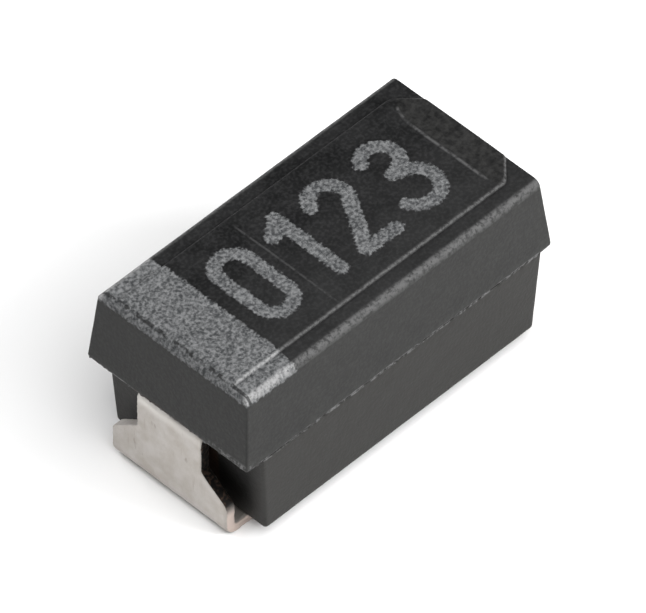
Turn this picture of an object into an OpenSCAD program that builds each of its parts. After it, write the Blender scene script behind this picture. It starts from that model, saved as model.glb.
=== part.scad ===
// Moulded tantalum chip capacitor, standard 3216-18 size.
// X runs along the part with the anode end at -X, +Z is up, and the origin is
// on the mounting plane, under the middle of the case.

/* [Case] */
// Length of the case at the parting plane
case_length = 3.2; // [3.0:0.05:3.8]
// Width of the case at the parting plane
case_width = 1.66; // [1.6:0.02:2.0]
// Height of the upper half, from the parting plane to the side strips of the top
upper_height = 0.69; // [0.66:0.01:0.9]
// Depth of the lower half, from the parting plane to the underside
lower_depth = 0.82; // [0.79:0.01:1.0]
// How far the sides of the upper half lean in over its height
upper_side_draft = 0.062; // [0.02:0.002:0.08]
// How far the ends of the upper half lean in over its height
upper_end_draft = 0.07; // [0.02:0.005:0.09]
// How far the sides of the lower half lean in over its depth
lower_side_draft = 0.024; // [0.01:0.002:0.05]
// How far the ends of the lower half lean in over its depth
lower_end_draft = 0.058; // [0.02:0.002:0.08]
// Rounding of the two long top edges
long_edge_radius = 0.08; // [0.03:0.01:0.12]
// Rounding of the top edge at the anode end
anode_edge_radius = 0.09; // [0.03:0.01:0.12]
// Rounding of the top edge at the cathode end
cathode_edge_radius = 0.03; // [0.01:0.01:0.06]
// Rounding of the edges of the underside
bottom_edge_radius = 0.05; // [0.02:0.01:0.08]

/* [Marking panel] */
// Width of the raised panel on top of the case
panel_width = 1.21; // [1.0:0.01:1.3]
// How far the panel stands above the side strips
panel_rise = 0.03; // [0.02:0.005:0.06]
// Length of the slanted corners at the cathode end of the panel
panel_corner = 0.19; // [0.1:0.01:0.3]
// Rounding of the panel's long edges
panel_edge_radius = 0.025; // [0.01:0.005:0.03]

/* [Moulding] */
// How far the upper half reaches past the lower half at each end
end_overhang = 0.13; // [0.1:0.01:0.18]
// How far the upper half reaches past the lower half at each side
side_overhang = 0.026; // [0:0.002:0.05]
// Offset of the lower mould half along the part
mould_shift_x = 0.03; // [0:0.01:0.05]
// Offset of the lower mould half across the part
mould_shift_y = -0.024; // [-0.04:0.004:0.04]

/* [Terminals] */
// Thickness of the terminal strip
strip_thickness = 0.09; // [0.07:0.01:0.12]
// Width of the strip where it leaves the case
neck_width = 0.68; // [0.5:0.01:0.8]
// Width of the foot
foot_width = 1.2; // [1.0:0.05:1.3]
// Length of the foot along the part
foot_length = 0.8; // [0.5:0.05:0.9]
// Length of the straight neck, below the parting plane
neck_length = 0.4; // [0.38:0.01:0.46]
// Height of the slanted shoulders between neck and foot
shoulder_height = 0.19; // [0.14:0.01:0.22]
// Inside radius of the strip's bends
bend_radius = 0.025; // [0.02:0.005:0.04]
// Gap between the anode leg and the end of the lower half
anode_leg_gap = 0.05; // [0.01:0.005:0.06]
// Gap between the cathode leg and the end of the lower half
cathode_leg_gap = 0.01; // [0.01:0.005:0.06]
// Rounding of the shoulder's outer corner
shoulder_corner_radius = 0.08; // [0.03:0.01:0.1]
// Rounding between neck and shoulder
neck_fillet_radius = 0.06; // [0.03:0.01:0.1]

/* [Capacitor element] */
// Length of the pressed pellet
pellet_length = 1.6; // [1.2:0.05:1.7]
// Width of the pellet
pellet_width = 1.0; // [0.8:0.05:1.1]
// Height of the pellet
pellet_height = 0.74; // [0.6:0.02:0.76]
// Rounding of the pellet's long edges
pellet_edge_radius = 0.06; // [0.02:0.01:0.1]
// Distance from the middle of the case to the middle of the pellet
pellet_offset = 0.08; // [0:0.01:0.1]
// Thickness of the manganese dioxide
dioxide_thickness = 0.03; // [0.02:0.005:0.04]
// Thickness of the graphite
graphite_thickness = 0.02; // [0.02:0.005:0.03]
// Thickness of the silver coat
silver_thickness = 0.03; // [0.02:0.005:0.04]
// How far each coat stays back from the rim of the one beneath
coat_step = 0.06; // [0.03:0.01:0.1]

/* [Wire and joints] */
// Diameter of the tantalum wire
wire_diameter = 0.2; // [0.15:0.01:0.24]
// Length of wire inside the pellet
wire_embedded = 0.6; // [0.3:0.05:1.0]
// Length of wire that lies on the anode tab
weld_length = 0.22; // [0.15:0.01:0.28]
// Depth to which the weld flattens the wire
weld_depth = 0.02; // [0.01:0.005:0.04]
// Bare wire between the washer and the anode tab
wire_free_length = 0.13; // [0.08:0.01:0.2]
// Diameter of the insulating washer
washer_diameter = 0.5; // [0.35:0.01:0.6]
// Thickness of the insulating washer
washer_thickness = 0.1; // [0.06:0.01:0.12]
// Thickness of the silver adhesive under the element
adhesive_thickness = 0.03; // [0.02:0.005:0.05]
// Length of the silver adhesive
adhesive_length = 1.1; // [0.6:0.05:1.2]
// Width of the silver adhesive
adhesive_width = 0.56; // [0.4:0.02:0.64]
// Length of the cathode tab beyond the adhesive, towards the wire
tab_margin = 0.05; // [0.02:0.01:0.1]
// Gap along the part between the element and the cathode tab's slope
slope_gap = 0.08; // [0.05:0.01:0.12]
// Length along the part of the cathode tab's slope
slope_run = 0.25; // [0.15:0.01:0.28]

/* [Hidden] */
arc_steps = 8;

// Heights above the mounting plane
underside_z = strip_thickness;
parting_z = underside_z + lower_depth;
strips_z = parting_z + upper_height;
top_z = strips_z + panel_rise;

// Places along the part
lower_length = case_length - 2 * end_overhang;
anode_wall_x = mould_shift_x - lower_length / 2;
cathode_wall_x = mould_shift_x + lower_length / 2;

// The element hangs on its wire, and the wire lies on the anode tab
wire_z = parting_z + wire_diameter / 2 - weld_depth;
pellet_start = pellet_offset - pellet_length / 2;
pellet_end = pellet_start + pellet_length;
anode_tab_end = pellet_start - washer_thickness - wire_free_length;
wire_start = anode_tab_end - weld_length;
coat_thickness = dioxide_thickness + graphite_thickness + silver_thickness;
element_end = pellet_end + coat_thickness;
cradle_z = wire_z - pellet_height / 2 - coat_thickness - adhesive_thickness;
adhesive_start = pellet_end - adhesive_length;

// ---- Outlines ----

function unit(v) = v / norm(v);
function left(v) = [-v[1], v[0]];

// Points of an arc of radius r that replaces the corner b between a and c
function corner(a, b, c, r) =
    let(u = unit(a - b), v = unit(c - b), half = acos(u * v) / 2,
        centre = b + unit(u + v) * r / sin(half),
        s = b + u * r / tan(half) - centre, e = b + v * r / tan(half) - centre,
        first = atan2(s[1], s[0]),
        sweep = (atan2(e[1], e[0]) - first + 900) % 360 - 180)
    [for (k = [0:arc_steps]) let(g = first + sweep * k / arc_steps) centre + r * [cos(g), sin(g)]];

// A closed outline from corners given as [x, y, rounding]
function rounded(p) = let(n = len(p), at = function(i) let(q = p[(i + n) % n]) [q[0], q[1]])
    [for (i = [0:n - 1]) each p[i][2] == 0 ? [at(i)] : corner(at(i - 1), at(i), at(i + 1), p[i][2])];

// The corner at b of a line that runs beside the path a, b, c at distance d
function beside(a, b, c, d) =
    let(n = unit(left(unit(b - a)) + left(unit(c - b)))) b + n * d / (n * left(unit(b - a)));

// One side of a strip bent along a path, as corners with their rounding
function strip_side(path, d, r) = let(n = len(path), t = abs(d))
    [for (i = [0:n - 1])
        let(b = path[i], a = i == 0 ? 2 * b - path[1] : path[i - 1],
            c = i == n - 1 ? 2 * b - path[n - 2] : path[i + 1],
            turn = (b - a) * -left(c - b), q = beside(a, b, c, d))
        [q[0], q[1], i == 0 || i == n - 1 ? 0 : r + (turn * d > 0 ? 0 : 2 * t)]];

// The closed outline of a strip of thickness t bent along its middle line
function strip(path, t, r) =
    let(near = strip_side(path, t / 2, r), far = strip_side(path, -t / 2, r))
    rounded([each near, for (i = [len(far) - 1:-1:0]) far[i]]);

// ---- Extrusions along the three axes ----

// An outline drawn in X and Z, carried across the part from -width / 2 to width / 2
module across(width) { rotate([90, 0, 0]) linear_extrude(width, center = true) children(); }

// An outline drawn in Y and Z, carried along the part from x0 to x1
module along(x0, x1) { translate([x0, 0, 0]) rotate([90, 0, 90]) linear_extrude(x1 - x0) children(); }

// A bar along X with rounded long edges, centred on the wire
module bar(x0, x1, width, height, r) {
    w = width / 2;
    h = height / 2;
    translate([0, 0, wire_z]) along(x0, x1)
        polygon(rounded([[-w, -h, r], [w, -h, r], [w, h, r], [-w, h, r]]));
}

// ---- Case ----

// Lengthwise outline of the upper half: drafted ends and rounded top edges
module upper_length_outline() {
    half = case_length / 2;
    lean = upper_end_draft * (upper_height + panel_rise) / upper_height;
    polygon(rounded([[-half, parting_z, 0], [half, parting_z, 0],
        [half - lean, top_z, cathode_edge_radius], [lean - half, top_z, anode_edge_radius]]));
}

// Crosswise outline of the upper half up to the side strips
module upper_width_outline() {
    half = case_width / 2;
    top = half - upper_side_draft;
    polygon(rounded([[-half, parting_z, 0], [half, parting_z, 0],
        [top, strips_z, long_edge_radius], [-top, strips_z, long_edge_radius]]));
}

// Plan of the marking panel, with its corners slanted at the cathode end
module panel_plan() {
    half = panel_width / 2;
    far = case_length / 2 - upper_end_draft;
    polygon([[-case_length / 2, -half], [far - panel_corner, -half], [far, panel_corner - half],
        [case_length / 2, panel_corner - half], [case_length / 2, half - panel_corner],
        [far, half - panel_corner], [far - panel_corner, half], [-case_length / 2, half]]);
}

module upper_half() {
    intersection() {
        along(-case_length / 2, case_length / 2) upper_width_outline();
        across(case_width) upper_length_outline();
    }
    intersection() {
        along(-case_length / 2, case_length / 2) {
            w = panel_width / 2;
            r = panel_edge_radius;
            polygon(rounded([[-w, parting_z, 0], [w, parting_z, 0], [w, top_z, r], [-w, top_z, r]]));
        }
        across(case_width) upper_length_outline();
        linear_extrude(top_z + 1) panel_plan();
    }
}

module lower_half() {
    w = case_width / 2 - side_overhang;
    l = lower_length / 2;
    r = bottom_edge_radius;
    translate([mould_shift_x, mould_shift_y, 0]) intersection() {
        along(-l, l) polygon(rounded([[w, parting_z, 0], [-w, parting_z, 0],
            [lower_side_draft - w, underside_z, r], [w - lower_side_draft, underside_z, r]]));
        across(case_width) polygon(rounded([[l, parting_z, 0], [-l, parting_z, 0],
            [lower_end_draft - l, underside_z, r], [l - lower_end_draft, underside_z, r]]));
    }
}

// Everything that the epoxy is moulded around
module moulded_in() {
    anode_strip();
    cathode_strip();
    wire();
    washer_disc();
    coated(dioxide_thickness, -dioxide_thickness);
    coated(dioxide_thickness + graphite_thickness, coat_step);
    coated(coat_thickness, 2 * coat_step);
    adhesive_pad();
}

module case() {
    color([0.2, 0.2, 0.2]) difference() {
        union() {
            upper_half();
            lower_half();
        }
        moulded_in();
    }
}

// ---- Terminals ----

// Elevation of the upright leg: straight neck, slanted shoulders, full foot width
module leg_elevation() {
    n = neck_width / 2;
    f = foot_width / 2;
    shoulder_z = parting_z - neck_length;
    corner_z = shoulder_z - shoulder_height;
    polygon(rounded([[-n, parting_z, 0], [-n, shoulder_z, neck_fillet_radius],
        [-f, corner_z, shoulder_corner_radius], [-f, 0, 0], [f, 0, 0],
        [f, corner_z, shoulder_corner_radius], [n, shoulder_z, neck_fillet_radius], [n, parting_z, 0]]));
}

// The strip outside the case, drawn for a leg that stands on the +X side.
// wall_x is where the end of the lower half meets the parting plane.
module leg_and_foot(wall_x, gap) {
    middle = strip_thickness / 2;
    leg_x = wall_x + gap + middle;
    intersection() {
        across(foot_width) polygon(strip([[wall_x - bend_radius, parting_z - middle],
            [leg_x, parting_z - middle], [leg_x, middle], [leg_x + middle - foot_length, middle]],
            strip_thickness, bend_radius));
        along(0, leg_x + strip_thickness) leg_elevation();
    }
}

module anode_strip() {
    mirror([1, 0, 0]) leg_and_foot(-anode_wall_x, anode_leg_gap);
    translate([anode_wall_x, -neck_width / 2, parting_z - strip_thickness])
        cube([anode_tab_end - anode_wall_x, neck_width, strip_thickness]);
}

// The cathode tab slopes down to a cradle that carries the element
module cathode_strip() {
    middle = strip_thickness / 2;
    slope_end = element_end + slope_gap;
    leg_and_foot(cathode_wall_x, cathode_leg_gap);
    across(neck_width) polygon(strip([[cathode_wall_x, parting_z - middle],
        [slope_end + slope_run, parting_z - middle], [slope_end, cradle_z - middle],
        [adhesive_start - tab_margin, cradle_z - middle]], strip_thickness, bend_radius));
}

module anode_terminal() { color([0.75, 0.72, 0.69]) anode_strip(); }

module cathode_terminal() { color([0.75, 0.72, 0.69]) cathode_strip(); }

// ---- Capacitor element ----

// A round rod along X, centred on the wire
module rod(x0, x1, diameter) {
    translate([x0, 0, wire_z]) rotate([0, 90, 0]) cylinder(h = x1 - x0, d = diameter, $fn = 48);
}

// The wire, with the flat that the weld presses on it
module wire() {
    difference() {
        rod(wire_start, pellet_start + wire_embedded, wire_diameter);
        translate([wire_start - weld_depth, -wire_diameter, parting_z - wire_diameter])
            cube([weld_length + 2 * weld_depth, 2 * wire_diameter, wire_diameter]);
    }
}

module washer_disc() { rod(pellet_start - washer_thickness, pellet_start, washer_diameter); }

// The pellet grown by a coat on its sides and far end; start is measured from its wire end
module coated(coat, start) {
    bar(pellet_start + start, pellet_end + coat, pellet_width + 2 * coat, pellet_height + 2 * coat,
        pellet_edge_radius + coat);
}

module anode_wire() { color([0.5, 0.5, 0.53]) wire(); }

module insulating_washer() {
    color([0.95, 0.95, 0.93]) difference() {
        washer_disc();
        rod(wire_start, pellet_end, wire_diameter);
    }
}

module tantalum_pellet() {
    color([0.33, 0.33, 0.36]) difference() {
        coated(0, 0);
        wire();
    }
}

module manganese_dioxide() {
    color([0.12, 0.11, 0.11]) difference() {
        coated(dioxide_thickness, -dioxide_thickness);
        coated(0, 0);
        washer_disc();
    }
}

module graphite_coat() {
    color([0.25, 0.25, 0.26]) difference() {
        coated(dioxide_thickness + graphite_thickness, coat_step);
        coated(dioxide_thickness, -dioxide_thickness);
    }
}

module silver_coat() {
    color([0.78, 0.78, 0.76]) difference() {
        coated(coat_thickness, 2 * coat_step);
        coated(dioxide_thickness + graphite_thickness, coat_step);
    }
}

module adhesive_pad() {
    translate([adhesive_start, -adhesive_width / 2, cradle_z])
        cube([adhesive_length, adhesive_width, adhesive_thickness]);
}

module silver_adhesive() { color([0.7, 0.69, 0.66]) adhesive_pad(); }

case();
anode_terminal();
cathode_terminal();
anode_wire();
insulating_washer();
tantalum_pellet();
manganese_dioxide();
graphite_coat();
silver_coat();
silver_adhesive();
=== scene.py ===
# %% [markdown]
# # A moulded tantalum chip capacitor
#
# The real part is a black epoxy block about as long as a grain of rice. Two folded metal strips come out
# of its ends at mid height and turn under it, and the top carries a light laser-marked band and some
# figures. Inside sits a pellet of sintered tantalum in its coats.
#
# The construction is already made at its real size. This lesson dresses it: the case and the two strips
# become finer surfaces, and every other solid keeps its shape and gets a finish of its own.

import math

import bpy
import numpy as np
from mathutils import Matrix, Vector


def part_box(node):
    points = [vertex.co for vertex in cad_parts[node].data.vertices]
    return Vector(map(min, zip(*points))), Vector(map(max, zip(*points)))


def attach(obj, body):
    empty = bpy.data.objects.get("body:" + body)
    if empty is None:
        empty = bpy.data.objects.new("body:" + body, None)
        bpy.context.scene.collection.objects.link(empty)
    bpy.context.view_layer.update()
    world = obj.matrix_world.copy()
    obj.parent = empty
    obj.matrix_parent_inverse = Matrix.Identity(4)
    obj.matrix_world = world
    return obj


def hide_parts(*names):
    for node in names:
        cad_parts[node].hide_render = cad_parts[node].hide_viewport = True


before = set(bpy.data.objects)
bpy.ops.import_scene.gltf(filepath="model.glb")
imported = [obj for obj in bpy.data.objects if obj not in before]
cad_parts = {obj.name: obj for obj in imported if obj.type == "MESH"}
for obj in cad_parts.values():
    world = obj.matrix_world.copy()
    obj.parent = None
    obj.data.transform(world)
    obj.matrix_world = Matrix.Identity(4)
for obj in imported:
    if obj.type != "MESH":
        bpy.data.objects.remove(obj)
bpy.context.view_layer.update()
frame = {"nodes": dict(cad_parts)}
print("solids in the frame:", ", ".join(frame["nodes"]))

# %% [markdown]
# ## Sizes
#
# A lesson is easier to follow in millimetres, so every size below is in millimetres and is turned into
# metres only when a mesh is made. Whatever the frame can tell is read from it: the case's box, and the
# parting plane, which is as high as the top of the strips. The rest repeats the construction's own values.

# %% Sizes of the case and the strips
MM = 0.001

case_low, case_high = (np.array(corner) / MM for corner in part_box("case"))
anode_low, anode_high = (np.array(corner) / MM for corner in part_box("anode_terminal"))
cathode_low, cathode_high = (np.array(corner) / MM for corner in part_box("cathode_terminal"))

half_length, half_width = case_high[0], case_high[1]
underside_z, parting_z, top_z = case_low[2], anode_high[2], case_high[2]
panel_rise = 0.03
strips_z = top_z - panel_rise
print(f"case {2 * half_length:.2f} x {2 * half_width:.2f} mm, parting plane at {parting_z:.2f} mm")

# %% [markdown]
# ## Camera
#
# A long lens from about 100 mm away keeps the edges nearly parallel, as is usual in pictures of
# something this small. The camera looks at the middle of the parting plane from above the anode end.

# %% Camera
CAMERA_DISTANCE = 99.65
CAMERA_WAY = Vector((-0.4806, -0.4747, 0.7373)).normalized()

camera_data = bpy.data.cameras.new("product_camera")
camera_data.lens = 753.4
camera_data.sensor_width = 36
camera_data.shift_x = 0.0043
camera_data.shift_y = -0.0104
camera_data.clip_start = 0.01
camera_data.clip_end = 10
camera = bpy.data.objects.new("product_camera", camera_data)
camera.location = Vector((0, 0, parting_z * MM)) + CAMERA_WAY * CAMERA_DISTANCE * MM
camera.rotation_euler = CAMERA_WAY.to_track_quat("Z", "Y").to_euler()
bpy.context.collection.objects.link(camera)
bpy.context.scene.camera = camera
print("camera at", [round(c / MM, 1) for c in camera.location], "mm")

# %% [markdown]
# ## From arrays to meshes
#
# Every new piece is worked out as whole numpy arrays: one array of points and one of four-cornered faces.
# A point may carry extra numbers, such as its distance from a mark, which its material reads as an
# attribute. Edges sharper than the given angle stay crisp, and all others are shaded smooth.

# %% Mesh helper
def make_piece(name, points, faces, crisp=50, **fields):
    """An object from points in millimetres and faces as rows of four point numbers."""
    mesh = bpy.data.meshes.new(name)
    mesh.from_pydata((points * MM).tolist(), [], faces.tolist())
    mesh.shade_smooth()
    mesh.set_sharp_from_angle(angle=math.radians(crisp))
    for field, values in fields.items():
        if values.ndim == 1:
            mesh.attributes.new(field, "FLOAT", "POINT").data.foreach_set("value", values)
        else:
            mesh.attributes.new(field, "FLOAT_VECTOR", "POINT").data.foreach_set("vector", values.ravel())
    piece = bpy.data.objects.new(name, mesh)
    bpy.context.collection.objects.link(piece)
    print(f"{name}: {len(points)} points, {len(faces)} faces")
    return piece


def quads(numbers):
    """Faces between the neighbouring rows and columns of a grid of point numbers."""
    corners = [numbers[:-1, :-1], numbers[1:, :-1], numbers[1:, 1:], numbers[:-1, 1:]]
    return np.stack([corner.ravel() for corner in corners], axis=1)


# %% [markdown]
# ## Uneven surfaces
#
# Nothing moulded or stamped is perfectly even. A ripple is a sum of waves with whole numbers of turns, so
# it closes on itself round the case, and a swell is the same in three directions. Their seeds are fixed,
# so each run gives the same surface.

# %% Ripples and swells
def ripple(turns, slowest, fastest, seed, waves=24):
    """Sum of cosine waves round a closed line, about -1 to 1; turns runs from 0 to 1 along it."""
    chance = np.random.default_rng(seed)
    counts = chance.integers(slowest, fastest, waves)[:, None]
    phases = chance.uniform(0, 2 * math.pi, waves)[:, None]
    return np.cos(2 * math.pi * counts * turns.reshape(1, -1) + phases).sum(0).reshape(turns.shape) / 6


def swell(points, length, seed, waves=16):
    """Sum of plane waves of about the given length through space, about -1 to 1."""
    chance = np.random.default_rng(seed)
    ways = chance.normal(size=(waves, 3))
    ways *= 2 * math.pi / (length * np.linalg.norm(ways, axis=1, keepdims=True))
    ways *= chance.uniform(0.7, 1.4, (waves, 1))
    phases = chance.uniform(0, 2 * math.pi, waves)
    return np.clip(np.cos(points @ ways.T + phases).sum(-1) / 5, -1, 1)


trial_ripple = ripple(np.linspace(0, 1, 400), 8, 60, seed=1)
print(f"a trial ripple ranges from {trial_ripple.min():.2f} to {trial_ripple.max():.2f}")

# %% [markdown]
# ## The case as a grid
#
# The case is pressed in a two-part mould, so it has drafted sides, a different rounding on each top edge
# and two halves that don't quite meet. It could be a box with bevels, but bevels of different radius
# don't join well at the corners. Instead the whole skin is one grid: a lid on top, a lid underneath, and a
# band of rings between them. The lids and the rings share their outline points, so the skin is closed.
#
# Grid lines sit closer together where the surface turns: at the corners and along the panel's edges.

# %% Grid lines of the lids
panel_half = 0.605
clip_length = 0.19
clip_start = half_length - 0.07 - clip_length
corner_zone = 0.02


def grid_lines(*stretches):
    """Positions from stretches of (end, number of steps), starting at 0."""
    places = [np.array([0.0])]
    for end, steps in stretches:
        places.append(np.linspace(places[-1][-1], end, steps + 1)[1:])
    return np.concatenate(places)


def drafted_corner(half, draft_per_height, height, radius):
    """Place of the middle of the rounding between a wall that leans in and a level top."""
    lean = math.atan(draft_per_height)
    return half - (height - radius) * draft_per_height - radius / math.cos(lean)


upper_height = strips_z - parting_z
side_slope, end_slope = 0.062 / upper_height, 0.07 / upper_height
long_radius, anode_radius, cathode_radius = 0.08, 0.09, 0.03
lid_y = drafted_corner(half_width, side_slope, upper_height, long_radius)
lid_anode = -drafted_corner(half_length, end_slope, top_z - parting_z, anode_radius)
lid_cathode = drafted_corner(half_length, end_slope, top_z - parting_z, cathode_radius)

across = grid_lines((panel_half - 0.04, 42), (panel_half - 0.03, 2), (panel_half + 0.012, 11),
                    (lid_y - corner_zone - 0.01, 4), (lid_y - corner_zone, 1), (lid_y, 4))
across = np.concatenate([-across[:0:-1], across]) / (2 * lid_y) + 0.5
lid_length = lid_cathode - lid_anode
along = grid_lines((corner_zone, 4), (0.1, 6), (lid_length - 0.1, 166), (lid_length - corner_zone, 6),
                   (lid_length, 4)) / lid_length
print(f"lid grid: {len(along)} by {len(across)} lines")

# %% [markdown]
# A flat outline is a rectangle with rounded corners. A point of the sharp rectangle is split into the
# nearest point of a core, inset by the radius, and the rest. The rest is scaled so that squares round the
# core become circles. This one formula serves the rings and the inside of the lids alike.

# %% Outlines with rounded corners
def round_plan(x, y, low, high, radius):
    """Moves the points of a rectangle from low to high onto the same rectangle with rounded corners."""
    place = np.stack([x, y], axis=-1)
    core = np.clip(place, np.array(low) + radius, np.array(high) - radius)
    rest = place - core
    longest = np.abs(rest).max(-1, keepdims=True)
    length = np.linalg.norm(rest, axis=-1, keepdims=True)
    return core + rest * longest / np.maximum(length, 1e-9)


def outline(values):
    """The values on the rim of a grid, anticlockwise from its first corner."""
    return np.concatenate([values[:-1, 0], values[-1, :-1], values[:0:-1, -1], values[0, :0:-1]])


grid_x, grid_y = np.meshgrid(along, across, indexing="ij")
rim_x, rim_y = outline(grid_x), outline(grid_y)


def plan(share_x, share_y, low, high, radius):
    """Points in a rounded rectangle from their shares of its length and width."""
    x = low[0] + share_x * (high[0] - low[0])
    y = low[1] + share_y * (high[1] - low[1])
    return round_plan(x, y, low, high, radius)


print("points round an outline:", len(rim_x))

# %% [markdown]
# The raised marking panel has two slanted corners at the cathode end. A grid of straight lines would show
# that slant as steps. So the lines along the panel's edge are bent to follow it, those inside are pressed
# together, and those outside are spread out.

# %% Grid lines that follow the panel's slanted corners
def follow_panel(points):
    """Bends the lines near the panel's edge inwards beyond the place where its corners start to slant."""
    x, y = points[..., 0], points[..., 1]
    side = np.abs(y)
    shift = np.clip(x - clip_start, 0, clip_length)
    inner, outer, still = panel_half - 0.04, panel_half + 0.012, lid_y - corner_zone - 0.01
    pressed = side * (inner - shift) / inner
    spread = outer - shift + (side - outer) * (still - outer + shift) / (still - outer)
    moved = np.select([side < inner, side < outer, side < still], [pressed, side - shift, spread], side)
    return np.stack([x, np.copysign(moved, y)], axis=-1)


print(f"the panel's corners start to slant {half_length - clip_start:.2f} mm before the end of the case")

# %% [markdown]
# The top's height follows from where a point lies in plan. The rounded edges are arcs, the panel's riser
# is a short arc too, and where a long side's rounding meets an end's, the lower one wins, with a soft
# change from one to the other.

# %% Height of the top
def soft_least(a, b, width):
    """The smaller of two heights, blended where they differ by less than the width."""
    near = np.clip(0.5 + 0.5 * (b - a) / width, 0, 1)
    return b + (a - b) * near - width * near * (1 - near)


def shoulder(beyond, radius, top):
    """Height of a rounded edge: level up to the rounding, then an arc that falls away."""
    return top - radius + np.sqrt(np.maximum(radius**2 - np.clip(beyond, 0, radius) ** 2, 0))


def panel_depth(x, y):
    """How far inside the panel's edge a point lies; negative outside it."""
    side = panel_half - np.abs(y)
    slant = (side + clip_start - x) / math.sqrt(2)
    return soft_least(side, slant, 0.03)


def top_height(points):
    """Height of the top's skin over each point of the plan."""
    x, y = points[..., 0], points[..., 1]
    anode_end = shoulder(lid_anode - x, anode_radius, top_z)
    cathode_end = shoulder(x - lid_cathode, cathode_radius, top_z)
    ends = np.minimum(anode_end, cathode_end)
    sides = shoulder(np.abs(y) - lid_y, long_radius, strips_z)
    depth = panel_depth(x, y)
    riser = 0.025
    foot = np.clip((depth + 0.006) / 0.006, 0, 1) * (panel_rise - riser)
    arc = np.sqrt(np.maximum(riser**2 - np.clip(riser - depth, 0, riser) ** 2, 0))
    crown = 0.004 * (y / panel_half) ** 2
    panel = np.where(depth > -0.006, ends - panel_rise + foot + arc - crown, 0)
    return np.maximum(soft_least(sides, ends, 0.02), panel)


strip_middle_y = (panel_half + lid_y) / 2
sample_heights = top_height(np.array([[0, 0], [0, strip_middle_y]]))
print("height on the panel and beside it:", sample_heights.round(3), "mm")

# %% [markdown]
# Now the rings. From the underside up they are: the rounding of the lower edge, the lower wall, a small
# groove and the ledge at the parting plane, the ragged lip of flash, the upper wall, and the rounding of
# the top edges. The two halves are offset a little from each other along and across the part.

# %% Rings from the underside to the parting plane
lower_depth = parting_z - underside_z
lower_low = np.array([-1.44, -0.828])
lower_high = np.array([1.50, 0.780])
lower_slope = np.array([0.058, 0.024]) / lower_depth
bottom_radius = 0.05
lower_corner = 0.03
upper_corner = 0.016
upper_low = np.array([-half_length, -half_width])
upper_high = -upper_low


def level_ring(low, high, radius, height):
    """One ring at a given height."""
    flat = plan(rim_x, rim_y, low, high, radius)
    return np.column_stack([flat, np.full(len(flat), height)])


def lower_outline(height):
    """Corners of the lower half's outline at a height."""
    inset = lower_slope * (parting_z - height)
    return lower_low + inset, lower_high - inset


rings = []
bottom_lean = math.atan(lower_slope.mean())
middle_low, middle_high = lower_outline(underside_z + bottom_radius)
for turn in np.linspace(math.pi / 2, bottom_lean, 8):
    reach = bottom_radius * (math.cos(turn) - 1)
    height = underside_z + bottom_radius * (1 - math.sin(turn))
    rings.append(level_ring(middle_low - reach, middle_high + reach, lower_corner, height))
for height in np.linspace(underside_z + 0.06, parting_z - 0.03, 11):
    rings.append(level_ring(*lower_outline(height), lower_corner, height))
print("rings up to the groove:", len(rings))

# %% [markdown]
# Flash is the film of epoxy that creeps into the joint of the mould. When it is broken off it leaves a
# torn lip: chips that stand out or hang down a few hundredths of a millimetre, and pits where a piece of
# the edge came away with it. Both come from ripples round the ring. The lip stays inside the case's box,
# so the edge is drawn in a little and only the longest chips reach its old place.

# %% Rings of the parting line
turns = np.arange(len(rim_x)) / len(rim_x)
torn = np.clip(ripple(turns, 40, 260, seed=3), -1, 1)
chips = np.clip(torn, 0, 1) ** 2
pits = np.clip(-ripple(turns, 50, 200, seed=8), 0, 1)


def outward(ring):
    """Unit vectors that point out of a ring in plan."""
    ahead = np.roll(ring[:, :2], -1, axis=0) - np.roll(ring[:, :2], 1, axis=0)
    way = np.column_stack([ahead[:, 1], -ahead[:, 0]])
    return way / np.linalg.norm(way, axis=1, keepdims=True)


def ragged_ring(low, high, radius, height, out, up):
    """A ring whose points are moved outwards and upwards by amounts that change round it."""
    ring = level_ring(low, high, radius, height)
    ring[:, :2] += outward(ring) * np.broadcast_to(out, turns.shape)[:, None]
    ring[:, 2] += up
    return ring


wall_top = lower_outline(parting_z)
drawn_in = 0.006
upper_in = (upper_low + drawn_in, upper_high - drawn_in)
middle_in = ((wall_top[0] + upper_in[0]) / 2, (wall_top[1] + upper_in[1]) / 2)
rings += [
    ragged_ring(*wall_top, lower_corner, parting_z - 0.018, -0.001 - 0.002 * pits, 0),
    ragged_ring(*wall_top, lower_corner, parting_z - 0.010, -0.002 - 0.010 * pits, 0),
    ragged_ring(*wall_top, lower_corner, parting_z - 0.003, -0.003 - 0.009 * pits, 0.002),
    ragged_ring(*middle_in, 0.024, parting_z - 0.001, 0, 0),
    ragged_ring(*upper_in, upper_corner, parting_z - 0.001, -0.003, -0.008 * chips),
    ragged_ring(*upper_in, upper_corner, parting_z + 0.001, drawn_in * chips, -0.006 * chips),
    ragged_ring(*upper_in, upper_corner, parting_z + 0.006, 0.001 + 0.004 * chips, 0.002 * torn),
    ragged_ring(*upper_in, upper_corner, parting_z + 0.013, 0.003 + 0.001 * torn, 0),
]
print(f"flash stands out {drawn_in * chips.max():.4f} mm at most")

# %% Rings of the upper wall and the rounded top edges
first_turn = math.atan(end_slope)
arc_turns = np.linspace(first_turn, math.pi / 2, 13)
arc_rings = []
for turn in arc_turns:
    low = np.array([lid_anode - anode_radius * math.cos(turn), -lid_y - long_radius * math.cos(turn)])
    high = np.array([lid_cathode + cathode_radius * math.cos(turn), -low[1]])
    flat = follow_panel(plan(rim_x, rim_y, low, high, upper_corner))
    arc_rings.append(np.column_stack([flat, top_height(flat)]))
for share in np.linspace(0.035, 0.97, 12):
    wall_foot = level_ring(upper_low, upper_high, upper_corner, parting_z)
    rings.append(wall_foot + share * (arc_rings[0] - wall_foot))
rings += arc_rings
rings = np.array(rings)
print("rings in all:", len(rings))

# %% [markdown]
# The lids close the band. Their rim points are the first and the last ring, so only the inner points are
# new: the underside is level, and the top takes its height from the formula above.

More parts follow.
